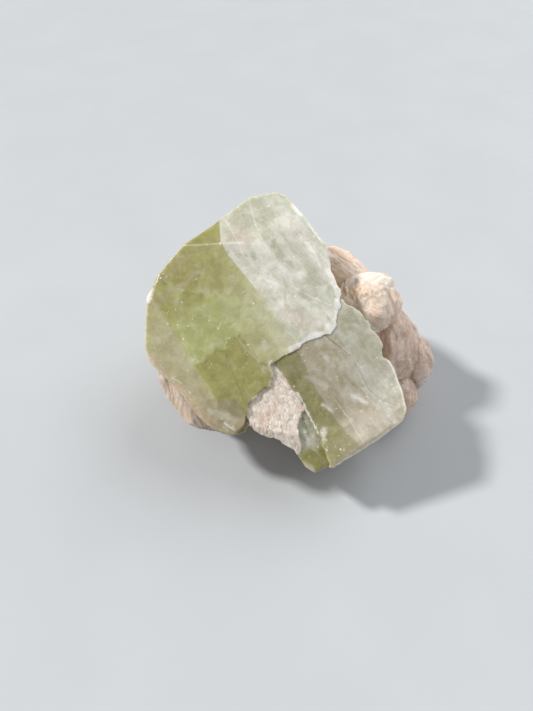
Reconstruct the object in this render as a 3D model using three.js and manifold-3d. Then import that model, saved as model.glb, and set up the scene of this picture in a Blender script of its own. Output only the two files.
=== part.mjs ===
// Apophyllite cluster on stilbite. Millimetres, +Z up, resting on a flat foot at Z = 0.
// Five blocky apophyllite crystals share one growth direction, so their big faces are parallel.
// Sheaves of stilbite grow under them and out at the right, the left rim and the front.

import * as THREE from 'three';
import { mergeVertices } from 'three/addons/utils/BufferGeometryUtils.js';
import Module from 'manifold-3d';

const wasm = await Module();
wasm.setup();

// ---- driving dimensions ----
const GAP = 0.3;                              // clearance between two pieces that touch
const CUTTER_SIZE = 200;                      // side of the blocks that cut a facet
const FACE_TILT = THREE.MathUtils.degToRad(32);   // slope of the big faces, down towards -Y
const FACE_TURN = THREE.MathUtils.degToRad(34);   // turn of the crystal rows within that slope
const FACE_CENTRE = new THREE.Vector3(2.5, -3, 25.9);

// In the crystal frame x runs across the row, y along the crystals' length, and z out of the face.
// A facet passes through its point. Its slope is the angle between its outward normal and the
// face's, so over 90 degrees it cuts from below, and heading is the way it falls, from x towards y.
const FAR_CORNER_FACET = { point: [-3.7, 26.7, 0], slope: 14, heading: 56 };
const CRYSTALS = [
  {
    name: 'green_crystal', colour: '#a9ad78', top: 0, depth: 19,
    outline: [[1.7, 27.7], [-3.7, 26.8], [-8.2, 25.6], [-12, 24.2], [-15.1, 22.8], [-17.6, 19.6],
      [-21, 15.3], [-21.9, 12.1], [-20.8, 8], [-19.6, 3], [-19, -1.5], [-17.9, -5.4], [-15.8, -8.2],
      [-12.6, -7.6], [-9.8, -5], [-5.6, -4.8], [-3.4, -2.8], [-3, -1.4], [1.3, -1.4]],
    facets: [
      FAR_CORNER_FACET,
      { point: [-12.1, 23.8, 0], slope: 24, heading: 171 },      // long bevel down the left side
      { point: [-15, 22.6, -1.4], slope: 50, heading: 131 },     // small facet at the left corner
      { point: [-18.5, 0, -9], slope: 140, heading: 200 },       // undercut over the left rim
      { point: [-10, -5, -10], slope: 130, heading: 270 },       // undercut over the front patch
    ],
  },
  {
    name: 'pale_crystal', colour: '#c8c8bb', top: 0, depth: 19,
    outline: [[2, 27.7], [4.6, 27.7], [12.5, 28.7], [17.3, 26.8], [18.4, 25.2], [18.8, 20.8],
      [18.9, 17.4], [19.1, 12], [16.7, 6.2], [16.2, 3.1], [14.8, 1.1], [12.6, -1.3], [9.5, -3],
      [5.5, -1.7], [1.6, -1.4]],
    facets: [
      FAR_CORNER_FACET,
      { point: [8.6, 0, 0], slope: 9, heading: 0 },              // gentle fall to the right
      { point: [18.6, 25, -2.5], slope: 48, heading: 32 },       // bevel at the top right corner
      { point: [17, 12, -17], slope: 140, heading: 0 },          // undercut over the right sheaves
    ],
  },
  {
    name: 'lower_crystal', colour: '#b3ae9b', top: -1.2, depth: 14,
    outline: [[12.7, -1.9], [15.1, 1.1], [16.7, -2.3], [17.1, -5.8], [16.9, -9.5], [16, -12.5],
      [15.9, -14.8], [14.5, -19.3], [13.2, -22.2], [11.5, -23.7], [6, -24.1], [-3.9, -23.8],
      [-4.6, -23.1], [-3, -17.3], [-1.8, -9.1], [-1.8, -2], [5.6, -2.3], [9.6, -3.4]],
    facets: [
      { point: [-2, -23.5, -10.5], slope: 150, heading: 233 },   // the tip thins from below
      { point: [17, -8, -6], slope: 140, heading: 0 },           // undercut over the right sheaves
    ],
  },
  {
    name: 'tip_crystal', colour: '#9c9a62', top: -4.6, depth: 6.5,
    outline: [[-3.3, -16.6], [-5, -23.6], [-6.8, -23.6], [-8, -22.6], [-8.4, -20.8], [-8.3, -18.9],
      [-5.5, -16.5]],
    facets: [],
  },
  {
    name: 'spur_crystal', colour: '#9b9a66', top: -6, depth: 6,
    outline: [[-12.4, -8], [-16.2, -6], [-16.5, -7.6], [-15.5, -9], [-13.9, -9.1]],
    facets: [],
  },
];

// Each sheaf is a lumpy ellipsoid: centre, half sizes and turn in the part's own directions.
const STILBITE = [
  { name: 'stilbite_ball', colour: '#e3d3c4', centre: [20.2, 11.6, 21.2], radii: [7.9, 7.4, 7],
    turn: [0, 0.3, 0], seed: 1, detail: 6 },
  { name: 'stilbite_upper_sheaf', colour: '#dcc0aa', centre: [16.5, 18.6, 20], radii: [9, 6.2, 7],
    turn: [0, 0.5, -0.7], seed: 2, detail: 6 },
  { name: 'stilbite_right_sheaf', colour: '#c9ad99', centre: [25.6, 9.4, 10.8], radii: [9, 9.8, 9.8],
    turn: [0, 0.45, 0.2], seed: 3, detail: 6 },
  { name: 'stilbite_far_blade', colour: '#b9a79b', centre: [32.2, 7.4, 7.6], radii: [4.4, 6.4, 7],
    turn: [0, 0.2, 0.5], seed: 4, detail: 5 },
  { name: 'stilbite_right_tail', colour: '#bea99a', centre: [27, -0.2, 5.6], radii: [6, 5.6, 5.4],
    turn: [0, 0, 0.5], seed: 5, detail: 5 },
  { name: 'stilbite_front_patch', colour: '#dcd2c5', centre: [1.2, -9, 13.6], radii: [9.2, 4.6, 6],
    turn: [0.5, 0, -0.75], seed: 6, detail: 6 },
  { name: 'stilbite_left_rim', colour: '#bba48f', centre: [-15, 0.8, 10.8], radii: [11.6, 6, 8.8],
    turn: [0, 0, -0.85], seed: 7, detail: 6 },
  { name: 'stilbite_base', colour: '#c7b3a2', centre: [5, 7, 7.5], radii: [24, 15.5, 13],
    turn: [0, 0, -0.25], seed: 8, detail: 11 },
];
const RELIEF = 0.05;                          // height of the lumps, as a part of the half size
const FOOT_LEVEL = 0;

// ---- from three.js geometry to a solid and back ----
function toSolid(geometry) {
  const bare = geometry.clone();
  bare.deleteAttribute('normal');
  bare.deleteAttribute('uv');
  const merged = mergeVertices(bare, 1e-4);
  return new wasm.Manifold(new wasm.Mesh({
    numProp: 3,
    vertProperties: new Float32Array(merged.attributes.position.array),
    triVerts: new Uint32Array(merged.index.array),
  }));
}

function toGeometry(solid) {
  const mesh = solid.getMesh();
  const geometry = new THREE.BufferGeometry();
  geometry.setAttribute('position', new THREE.BufferAttribute(mesh.vertProperties, 3));
  geometry.setIndex(new THREE.BufferAttribute(mesh.triVerts, 1));
  geometry.computeVertexNormals();
  return geometry;
}

// ---- crystals ----
// A block whose near face lies on the facet's plane, moved out by grow.
function facetCutter({ point, slope, heading }, grow) {
  const out = new THREE.Vector3().setFromSphericalCoords(
    1, THREE.MathUtils.degToRad(slope), THREE.MathUtils.degToRad(heading));
  out.set(out.z, out.x, out.y);
  const block = new THREE.BoxGeometry(CUTTER_SIZE, CUTTER_SIZE, CUTTER_SIZE);
  block.translate(0, 0, CUTTER_SIZE / 2 + grow);
  block.applyQuaternion(new THREE.Quaternion().setFromUnitVectors(new THREE.Vector3(0, 0, 1), out));
  block.translate(...point);
  return toSolid(block);
}

// The outline carried down from the face, with its facets cut. Grow makes it larger all round.
function crystalSolid({ outline, top, depth, facets }, grow) {
  const shape = new THREE.Shape(outline.map(([x, y]) => new THREE.Vector2(x, y)));
  const block = new THREE.ExtrudeGeometry(shape, {
    depth, bevelEnabled: grow > 0, bevelThickness: grow, bevelSize: grow, bevelSegments: 1,
  });
  block.translate(0, 0, top - depth);
  return facets.reduce((solid, facet) => solid.subtract(facetCutter(facet, grow)), toSolid(block));
}

// ---- stilbite ----
// A sphere swollen by three crossed waves, then stretched, turned and put in its place.
function sheafSolid({ centre, radii, turn, seed, detail }, grow) {
  const ball = new THREE.IcosahedronGeometry(1, detail);
  const position = ball.attributes.position;
  const point = new THREE.Vector3();
  const half = new THREE.Vector3(...radii).addScalar(grow);
  for (let i = 0; i < position.count; i += 1) {
    point.fromBufferAttribute(position, i);
    const waves = Math.sin(5 * point.x + seed) + Math.sin(6 * point.y + 2 * seed)
      + Math.sin(7 * point.z + 3 * seed);
    point.multiplyScalar(1 + RELIEF * waves).multiply(half);
    position.setXYZ(i, point.x, point.y, point.z);
  }
  ball.applyQuaternion(new THREE.Quaternion().setFromEuler(new THREE.Euler(...turn)));
  ball.translate(...centre);
  return toSolid(ball);
}

function meshOf(name, colour, roughness, solid) {
  const material = new THREE.MeshStandardMaterial({ color: colour, roughness, metalness: 0 });
  const mesh = new THREE.Mesh(toGeometry(solid), material);
  mesh.name = name;
  return mesh;
}

// ---- the cluster ----
const cluster = new THREE.Group();
const crystalGroup = new THREE.Group();
crystalGroup.position.copy(FACE_CENTRE);
crystalGroup.rotation.set(FACE_TILT, 0, FACE_TURN);
crystalGroup.updateMatrix();
cluster.add(crystalGroup);

// Each crystal makes room for the ones before it.
let crystalRoom = null;
for (const crystal of CRYSTALS) {
  const whole = crystalSolid(crystal, 0);
  const solid = crystalRoom ? whole.subtract(crystalRoom) : whole;
  crystalGroup.add(meshOf(crystal.name, crystal.colour, 0.2, solid));
  const grown = crystalSolid(crystal, GAP);
  crystalRoom = crystalRoom ? crystalRoom.add(grown) : grown;
}

// Each sheaf makes room for the crystals and for the sheaves before it, and ends at the foot's level.
const ground = facetCutter({ point: [0, 0, FOOT_LEVEL], slope: 180, heading: 0 }, 0);
let taken = crystalRoom.transform(crystalGroup.matrix.elements).add(ground);
for (const sheaf of STILBITE) {
  const solid = sheafSolid(sheaf, 0).subtract(taken);
  cluster.add(meshOf(sheaf.name, sheaf.colour, 0.6, solid));
  taken = taken.add(sheafSolid(sheaf, GAP));
}

// The origin goes to the middle of the box that the cluster fills, at the level of its foot.
const box = new THREE.Box3().setFromObject(cluster, true);
const middle = box.getCenter(new THREE.Vector3());
cluster.position.set(-middle.x, -middle.y, -box.min.z);

export default cluster;
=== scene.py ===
"""Apophyllite crystals in parallel growth on stilbite sheaves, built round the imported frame."""

import itertools
import math

import bpy
import numpy as np
from mathutils import Matrix, Vector


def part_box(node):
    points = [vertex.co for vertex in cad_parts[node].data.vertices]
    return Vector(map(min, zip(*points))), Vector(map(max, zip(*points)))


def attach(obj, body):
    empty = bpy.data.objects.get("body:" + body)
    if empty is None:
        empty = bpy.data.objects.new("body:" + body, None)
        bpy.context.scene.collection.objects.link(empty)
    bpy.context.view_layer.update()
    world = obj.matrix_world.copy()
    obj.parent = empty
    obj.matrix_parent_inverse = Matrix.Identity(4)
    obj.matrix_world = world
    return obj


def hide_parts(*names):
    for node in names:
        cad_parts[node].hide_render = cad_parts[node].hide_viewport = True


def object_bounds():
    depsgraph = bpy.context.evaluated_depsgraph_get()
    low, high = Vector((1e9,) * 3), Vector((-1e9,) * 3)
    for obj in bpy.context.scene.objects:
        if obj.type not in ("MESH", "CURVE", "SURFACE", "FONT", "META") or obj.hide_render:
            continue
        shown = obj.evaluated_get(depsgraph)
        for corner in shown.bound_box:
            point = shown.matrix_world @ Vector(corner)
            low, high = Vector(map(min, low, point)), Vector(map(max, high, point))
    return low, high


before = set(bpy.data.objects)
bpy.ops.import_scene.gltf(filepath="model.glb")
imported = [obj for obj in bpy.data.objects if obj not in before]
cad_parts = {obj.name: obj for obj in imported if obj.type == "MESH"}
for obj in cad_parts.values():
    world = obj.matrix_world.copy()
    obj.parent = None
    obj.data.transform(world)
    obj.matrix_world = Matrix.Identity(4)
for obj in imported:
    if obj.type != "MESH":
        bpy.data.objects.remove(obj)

bl_info = {
    "name": "Apophyllite cluster",
    "version": (1, 0, 0),
    "blender": (4, 5, 0),
    "location": "3D View > Sidebar > Cluster",
    "description": "Builds translucent apophyllite crystals on fibrous stilbite sheaves",
    "category": "Add Mesh",
}

MM = 0.001
BODY = "root"
CAD_LOW, CAD_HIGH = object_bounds()
FOOT = Vector(((CAD_LOW.x + CAD_HIGH.x) / 2, (CAD_LOW.y + CAD_HIGH.y) / 2, CAD_LOW.z))
PALE_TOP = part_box("pale_crystal")[1]
FACE_BELOW_TOP = (11.71, 36.59, 14.4)  # the pale crystal's high corner from the crystal frame's origin
FLAKE_AND_GLINT_SIZE = 0.34  # half length of the longest white spot, white flake and painted glint alike
SPECK_PLACE = (29.2, 2.6, 11.6)  # the dark speck, from the foot
KEY_WAY = (-0.715, 0.17, 0.68)  # towards each light
FILL_WAY = (0.62, 0.45, 0.64)


# ---- sizes and colours that a user would change ----

def number(name, description, default, **kind):
    """A plain number, or one with the unit or subtype given."""
    return bpy.props.FloatProperty(name=name, description=description, default=default, **kind)


def colour(name, description, *rgb):
    """A colour given as the 0-255 values of a paint chart."""
    return bpy.props.FloatVectorProperty(
        name=name, description=description, default=[linear(v) for v in rgb],
        size=3, min=0.0, max=1.0, subtype="COLOR")


def linear(value):
    """A 0-255 display value as a linear one."""
    v = value / 255
    return v / 12.92 if v <= 0.04045 else ((v + 0.055) / 1.055) ** 2.4


class CrystalSettings(bpy.types.PropertyGroup):
    """Sizes and colours of the apophyllite."""

    face_tilt: number("Face tilt", "Slope of the big faces, down towards the front",
                      math.radians(32), subtype="ANGLE")
    face_turn: number("Face turn", "Turn of the crystal rows within that slope",
                      math.radians(34), subtype="ANGLE")
    face_centre: bpy.props.FloatVectorProperty(
        name="Face centre", description="The crystal frame's origin, in millimetres from the foot",
        default=(PALE_TOP - FOOT) / MM - Vector(FACE_BELOW_TOP), size=3)
    edge_radius: number("Edge radius", "Rounding of the crystal edges, in millimetres", 0.16)
    olive: colour("Olive", "Deep green of the big crystal's far end", 171, 166, 104)
    leaf: colour("Leaf", "Brighter green of its middle", 184, 187, 131)
    pale_green: colour("Pale green", "Green that fades into the colourless crystal", 199, 198, 164)
    window: colour("Window", "Saturated olive of the broken lower faces", 164, 160, 102)
    tan: colour("Tan", "Bevel down the left side", 188, 182, 150)
    grey_beige: colour("Grey beige", "Where stilbite shows through from below", 182, 173, 141)
    pink_tan: colour("Pink tan", "Thin edge over the pink rim", 203, 184, 158)
    milky: colour("Milky", "Milky white of the colourless crystal", 223, 222, 212)
    cool_grey: colour("Cool grey", "Clear parts of the colourless crystal", 197, 198, 180)
    pale_pink: colour("Pale pink", "Blush in the colourless crystal", 220, 208, 198)
    mauve_grey: colour("Mauve grey", "Middle of the lower crystal", 192, 182, 161)
    straw: colour("Straw", "Near end of the lower crystal", 215, 206, 186)
    # White is also laid as painted light: painted glints, painted highlights along crystal edges and painted
    # light on the colourless crystal's near rim.
    white: colour("White", "Chips and bruised rims", 250, 248, 242)
    crack: colour("Crack", "Dark open cracks", 108, 100, 78)


class StilbiteSettings(bpy.types.PropertyGroup):
    """Sizes and colours of the stilbite."""

    blade_relief: number("Blade relief", "Height of the blades, in millimetres", 0.75)
    # Cream on the raised bundles is partly lighter fibres and partly a painted highlight.
    cream: colour("Cream", "Brightest fibres", 255, 250, 242)
    peach: colour("Peach", "Main colour of the upper sheaves", 253, 232, 214)
    # Orange is the stilbite's own warm tone in places; next to the crystals it is laid as painted contact
    # shade.
    orange_tone_and_contact_shade: colour("Orange", "Warm stain near the crystals", 246, 208, 178)
    mauve: colour("Mauve", "Greyer sheaves at the right", 226, 203, 190)
    shade: colour("Shade", "Grey brown between the blades", 208, 184, 166)
    patch: colour("Patch", "Front patch", 244, 233, 219)
    rim: colour("Rim", "Left rim", 204, 186, 166)
    speck: colour("Speck", "Dark speck on the far blade", 88, 76, 70)


class StageSettings(bpy.types.PropertyGroup):
    """Floor, light and camera."""

    floor: colour("Floor", "Plain pale floor", 190, 194, 198)
    floor_size: number("Floor size", "Side of the floor", 6.0, unit="LENGTH")
    key_strength: number("Key", "Strength of the sun from the left", 3.0)
    fill_strength: number("Fill", "Strength of the soft light from the right", 1.5)
    sky_strength: number("Sky", "Strength of the light from all round", 0.36)
    camera_place: bpy.props.FloatVectorProperty(
        name="Camera place", description="The camera, from the middle of the foot",
        default=(-0.0066, -0.0725, 0.1025), size=3, subtype="TRANSLATION")
    camera_pitch: number("Camera pitch", "How far the camera looks down",
                         math.radians(51.2), subtype="ANGLE")
    lens: number("Lens", "Focal length in millimetres", 27.0)


# ---- noise, as whole arrays ----

def lattice_value(ix, iy, iz, seed):
    """One number from -1 to 1 for each whole-number lattice point, by integer hashing."""
    parts = [(part & 0xFFFFFFFF).astype(np.uint32) for part in (ix, iy, iz)]
    mixed = parts[0] * np.uint32(374761393) + parts[1] * np.uint32(668265263)
    mixed = mixed + parts[2] * np.uint32(2246822519) + np.uint32(seed * 7919 + 17)
    mixed = (mixed ^ (mixed >> np.uint32(13))) * np.uint32(1274126177)
    mixed = mixed ^ (mixed >> np.uint32(16))
    return mixed.astype(float) / 2147483647.5 - 1.0


def noise(points, seed):
    """Smooth noise from -1 to 1: lattice values blended by 6t^5 - 15t^4 + 10t^3 on each axis."""
    base = np.floor(points).astype(np.int64)
    t = points - base
    t = t * t * t * (t * (t * 6 - 15) + 10)
    total = 0.0
    for step in itertools.product((0, 1), repeat=3):
        corner = [base[..., k] + step[k] for k in range(3)]
        share = [np.abs(1 - step[k] - t[..., k]) for k in range(3)]
        total = total + share[0] * share[1] * share[2] * lattice_value(*corner, seed)
    return total


def layered_noise(points, seed, octaves=4):
    """Sum of noise at doubled frequency and half the height, each octave."""
    total = 0.0
    for octave in range(octaves):
        total = total + noise(points * 2.0 ** octave, seed + octave) * 0.5 ** octave
    return total


def plane(x, y=0.0):
    """Places (x, y, 0) for noise, on a plane or along a line."""
    x, y = np.broadcast_arrays(x, y)
    return np.stack([x, y, x * 0], -1)


def smooth(value, low, high):
    """0 below low, 1 above high, and 3t^2 - 2t^3 between. Low may be the larger one."""
    t = np.clip((value - low) / (high - low), 0, 1)
    return t * t * (3 - 2 * t)


def blend(base, over, mask):
    """Two colours mixed by a mask: base + (over - base) * mask."""
    return base + (np.asarray(over) - base) * np.asarray(mask)[..., None]


def coats(col, settings, *rows):
    """Lays coats (colour name, mask, brightness if not 1) of the settings over a colour, in turn."""
    for name, mask, *brightness in rows:
        col = blend(col, np.array(getattr(settings, name)) * (brightness or [1])[0], mask)
    return col


# ---- closed surfaces ----

def closed_faces(rows, columns, first):
    """Faces of a surface closed round its columns, with a single point before and after its rows."""
    column = np.arange(columns)
    right = (column + 1) % columns
    row = np.arange(rows - 1)[:, None] * columns + first + 1
    quads = np.stack([row + column, row + right, row + columns + right, row + columns + column], -1)
    near = np.stack([np.full(columns, first), first + 1 + right, first + 1 + column], -1)
    start = first + 1 + (rows - 1) * columns
    end = first + 1 + rows * columns
    far = np.stack([start + column, start + right, np.full(columns, end)], -1)
    return quads.reshape(-1, 4), np.vstack([near, far])


def put(name, data):
    """A new object at the origin, in the scene."""
    made = bpy.data.objects.new(name, data)
    bpy.context.scene.collection.objects.link(made)
    return made


def make_piece(node_name, surfaces, attributes, material):
    """One mesh object for a node: closed surfaces, each (first pole, grid, last pole) in metres."""
    name = node_name + "_look"
    points, quads, triangles, first = [], [], [], 0
    for start, grid, end in surfaces:
        rows, columns = grid.shape[:2]
        points.append(np.vstack([[start], grid.reshape(-1, 3), [end]]))
        some_quads, some_triangles = closed_faces(rows, columns, first)
        quads.append(some_quads)
        triangles.append(some_triangles)
        first += rows * columns + 2
    points = np.vstack(points)
    quads = np.vstack(quads)
    triangles = np.vstack(triangles)
    mesh = bpy.data.meshes.new(name)
    mesh.vertices.add(len(points))
    mesh.vertices.foreach_set("co", points.astype(np.float32).ravel())
    corners = np.concatenate([quads.ravel(), triangles.ravel()])
    mesh.loops.add(len(corners))
    mesh.loops.foreach_set("vertex_index", corners.astype(np.int32))
    starts = np.concatenate([np.arange(len(quads)) * 4, len(quads) * 4 + np.arange(len(triangles)) * 3])
    mesh.polygons.add(len(starts))
    mesh.polygons.foreach_set("loop_start", starts.astype(np.int32))
    mesh.polygons.foreach_set("use_smooth", np.ones(len(starts), bool))
    mesh.update(calc_edges=True)
    mesh.validate()
    for key, values in attributes.items():
        kind, field = ("FLOAT_COLOR", "color") if key == "tint" else ("FLOAT_VECTOR", "vector")
        layer = mesh.attributes.new(key, kind, "POINT")
        layer.data.foreach_set(field, values.astype(np.float32).ravel())
    mesh.materials.append(material)
    piece = put(name, mesh)
    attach(piece, BODY)
    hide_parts(node_name)


# ---- the crystal frame ----

def crystal_turn(settings):
    """The turn from the crystal frame, whose z is the big faces' normal, to the part's frame."""
    return (Matrix.Rotation(settings.face_tilt, 3, "X") @ Matrix.Rotation(settings.face_turn, 3, "Z"))


def to_part(points, settings):
    """Crystal frame millimetres to part metres: turn * point + face centre."""
    return (points @ np.array(crystal_turn(settings)).T + np.array(settings.face_centre)) * MM + FOOT


def facet_height(x, y, facet):
    """Height of a facet's plane over the point (x, y) of the crystal frame.

    The plane passes through the facet's point. Its normal leans by slope from the face's normal,
    towards heading, both in degrees."""
    (px, py, pz), slope, heading = facet
    fall = math.tan(math.radians(slope))
    away = (x - px) * math.cos(math.radians(heading)) + (y - py) * math.sin(math.radians(heading))
    return pz - away * fall


def soft_minimum(heights, softness):
    """-softness * log(sum(exp(-height / softness))), which rounds the edges where planes meet."""
    stack = np.stack(heights)
    least = stack.min(0)
    return least - softness * np.log(np.exp((least - stack) / softness).sum(0))


def resample(corners, count):
    """Points at equal steps along a closed outline, counter-clockwise, with its outward normals.

    Also the distance along the outline to each point, and its whole length."""
    corners = np.asarray(corners, float)
    ahead = np.roll(corners, -1, 0)
    if (corners[:, 0] * ahead[:, 1] - ahead[:, 0] * corners[:, 1]).sum() < 0:
        corners = corners[::-1]
    loop = np.vstack([corners, corners[:1]])
    reach = np.r_[0, np.cumsum(np.linalg.norm(np.diff(loop, axis=0), axis=1))]
    along = np.linspace(0, reach[-1], count, endpoint=False)
    outline = np.stack([np.interp(along, reach, loop[:, k]) for k in (0, 1)], -1)
    tangent = np.roll(outline, -2, 0) - np.roll(outline, 2, 0)
    tangent /= np.linalg.norm(tangent, axis=1, keepdims=True)
    return outline, np.stack([tangent[:, 1], -tangent[:, 0]], -1), along, reach[-1]


def bites(along, total, count, width, seed):
    """Scallops along an edge: the deepest of many bites, each size * (1 - (gap / (width * size))^2)."""
    rng = np.random.default_rng(seed)
    middle = rng.uniform(0, total, count)
    size = rng.uniform(0.35, 1.0, count)
    gap = np.abs(along[:, None] - middle)
    gap = np.minimum(gap, total - gap)
    return (size * np.clip(1 - (gap / (width * size)) ** 2, 0, None)).max(1)


def gap_to_path(x, y, path):
    """Distance from (x, y) to the nearest point of a path of straight stretches."""
    gap = np.full(np.shape(x), 1e9)
    for (ax, ay), (bx, by) in zip(path, path[1:] or path):
        dx, dy = bx - ax, by - ay
        share = np.clip(((x - ax) * dx + (y - ay) * dy) / (dx * dx + dy * dy + 1e-9), 0, 1)
        gap = np.minimum(gap, np.hypot(x - ax - share * dx, y - ay - share * dy))
    return gap


def stroke(x, y, path, width, soft, seed):
    """1 on a path and 0 beyond its width, with the width made ragged by noise."""
    ragged = layered_noise(plane(x, y) * (0.6 + 0.5 / width), seed, 2)
    reach = width * (1 + 0.45 * ragged)
    return smooth(gap_to_path(x, y, path), reach, reach * (1 - soft))


def paint(col, settings, x, y, strokes, seed):
    """Lays strokes (colour name, strength, width, softness, path) over a colour, in turn."""
    return coats(col, settings, *((name, strength * stroke(x, y, path, width, soft, seed + index))
                                  for index, (name, strength, width, soft, path) in enumerate(strokes)))


def wisps(x, y, heading, long, wide, seed):
    """Short soft streaks along a heading: stretched noise above a level, in patches."""
    lean = math.radians(heading)
    u = x * math.cos(lean) + y * math.sin(lean)
    v = y * math.cos(lean) - x * math.sin(lean)
    bend = noise(plane(u / long, v / long), seed + 9) * 0.8
    streak = layered_noise(plane(u / long, v / wide + bend), seed, 3)
    patch = noise(plane(x, y) * 0.22, seed + 5)
    return smooth(streak, 0.2, 1.0) * smooth(patch, -0.3, 0.5)


def veils(x, y, seed):
    """Wisps in three headings, the highest at each point."""
    return np.maximum.reduce([wisps(x, y, 84, 4.4, 1.1, seed), wisps(x, y, 101, 4.0, 1.3, seed + 1),
                              wisps(x, y, 40, 2.4, 1.2, seed + 2) * 0.7])


def growth_relief(x, y):
    """Height of the growth marks on the big faces: long swells, low terraces and small pits."""
    swell = noise(plane(x * 0.22, y * 0.12), 3) * 0.10
    steps = layered_noise(plane(x * 0.42, y * 0.10), 5, 3)
    terraces = (np.tanh(steps * 14) + np.tanh((steps - 0.45) * 18)) * 0.009
    pits = smooth(layered_noise(plane(x, y) * 0.9, 6, 2), 0.75, 1.0) * 0.05
    return swell + terraces - pits


SEAM_FADE = (0.6, 0.1)
SEAM_RADIUS = 0.03
BEND_ROWS = 5
LEAST_DEPTH = 1.0
LEAST_WALL = 0.4
WEAR_REACH = 0.45


def ring_surface(spec, radius):
    """A slab as rings: out over its top, down its wall and in under its bottom.

    The top is the soft minimum of its facet planes plus its relief, and the bottom the soft maximum
    of its own planes. Ring k of the top stands at the outline drawn in towards the pole by a share
    of its distance. Near the rim the top falls by a quarter circle of the edge radius, by wear,
    and by the spec's own slope. The wall keeps the outline, drawn in by ledges and grooves. Round the
    seam the edge stays sharp and whole."""
    seed = spec["seed"]
    outline, normal, along, total = resample(spec["outline"], spec["columns"])
    free = 1 - smooth(gap_to_path(outline[:, 0], outline[:, 1], spec["seam"]), *SEAM_FADE)
    rough = spec["roughness_of"](outline[:, 0], outline[:, 1]) * free
    inward = bites(along, total, spec["bites"], spec["bite_width"], seed) * rough
    fine = np.abs(noise(plane(along * 1.8), seed)) * 0.10
    outline = outline - normal * (inward + fine * (0.3 * free + rough))[:, None]
    pole = np.array(spec["pole"], float)
    spoke = np.linalg.norm(outline - pole, axis=1)
    radius = SEAM_RADIUS + (radius - SEAM_RADIUS) * free

    def top(xy):
        x, y = xy[..., 0], xy[..., 1]
        level = np.full(x.shape, float(spec["top"]))
        height = soft_minimum([level] + [facet_height(x, y, f) for f in spec["top_facets"]], 0.05)
        return height + spec["relief"](x, y)

    def bottom(xy):
        x, y = xy[..., 0], xy[..., 1]
        level = np.full(x.shape, float(spec["top"] - spec["depth"]))
        height = -soft_minimum(
            [-level] + [-facet_height(x, y, f) for f in spec["bottom_facets"]], 0.08)
        lumps = layered_noise(plane(x * 0.3, y * 0.3), seed + 6) * 0.35
        return np.minimum(height + lumps, top(xy) - LEAST_DEPTH)

    rings = np.linspace(0, 1, spec["rings"], endpoint=False)[1:, None]
    share = rings * (1 - radius / spoke)
    bend = np.linspace(0, np.pi / 2, BEND_ROWS)[:, None]
    share = np.vstack([share, 1 - radius * (1 - np.sin(bend)) / spoke])
    top_xy = pole + (outline - pole) * share[..., None]
    from_rim = (1 - share) * spoke
    lip = np.clip(radius - from_rim, 0, radius)
    drop = radius - np.sqrt(np.clip(radius ** 2 - lip ** 2, 0, None))
    worn = np.clip(noise(plane(along * 0.9), seed + 7), 0, 1)
    worn = spec["wear"] * (worn * free + rough) * np.exp(-from_rim / WEAR_REACH)
    fall, reach = spec["slope_of"](outline[:, 0], outline[:, 1])
    uneven = 1 + 0.35 * layered_noise(plane(along * 0.7), seed + 2, 3)
    slope = fall * np.clip(1 - from_rim / (reach * uneven), 0, 1) ** 0.8
    top_z = top(top_xy) - drop - worn - slope
    top_rows = np.dstack([top_xy, top_z[..., None]])

    bottom_share = np.linspace(1, 0, spec["rings"] // 4, endpoint=False)[:, None]
    bottom_xy = pole + (outline - pole) * bottom_share[..., None]
    bottom_z = np.minimum(bottom(bottom_xy), top_z[-1] - LEAST_WALL)
    bottom_rows = np.dstack([bottom_xy, bottom_z[..., None]])

    drop_share = np.linspace(0, 1, spec["wall_rows"] + 2)[1:-1, None]
    wall_z = top_z[-1] + (bottom_z[0] - top_z[-1]) * drop_share
    steps = layered_noise(plane(wall_z * 0.9, along * 0.22), seed + 8, 3)
    groove = np.abs(layered_noise(plane(along * 1.5, wall_z * 0.06), seed + 9, 2))
    pull = 0.06 + 0.03 * np.tanh(steps * 8) + 0.07 * groove
    pull = pull * np.clip(np.sin(drop_share * np.pi) * 3, 0, 1)
    wall_xy = outline - normal * pull[..., None]
    wall_rows = np.dstack([wall_xy, wall_z[..., None]])

    grid = np.concatenate([top_rows, wall_rows, bottom_rows])
    return np.array([*pole, top(pole)]), grid, np.array([*pole, bottom(pole)])


def flatten(start, grid, end):
    """The points of a surface in the order make_piece stores them."""
    return np.vstack([[start], grid.reshape(-1, grid.shape[-1]), [end]])


def flakes_and_glints(x, y, spec):
    """1 on the small white spots, partly white flakes and partly painted glints, each an ellipse of its own
    size, turn, slimness and brightness.

    Some lie loose, and the rest round the spec's sparkling places (x, y, spread, count)."""
    rng = np.random.default_rng(spec["seed"] + 500)
    corners = np.array(spec["outline"], float)
    loose = rng.uniform(corners.min(0), corners.max(0), (spec["loose"], 2))
    spots = np.vstack([loose] + [rng.normal(place, spread, (count, 2))
                                 for *place, spread, count in spec["sparkles"]])
    sizes = FLAKE_AND_GLINT_SIZE * rng.uniform(0.35, 1.0, len(spots)) ** 1.6
    turns = rng.uniform(0, math.pi, len(spots))
    slims = rng.uniform(0.3, 0.8, len(spots))
    brights = rng.uniform(0.2, 1.0, len(spots)) ** 1.4
    mask = np.zeros(np.shape(x))
    for (px, py), size, turn, slim, bright in zip(spots, sizes, turns, slims, brights):
        u = (x - px) * math.cos(turn) + (y - py) * math.sin(turn)
        v = ((y - py) * math.cos(turn) - (x - px) * math.sin(turn)) / slim
        mask = np.maximum(mask, bright * smooth(np.hypot(u, v), size, size * 0.2))
    return mask


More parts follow.
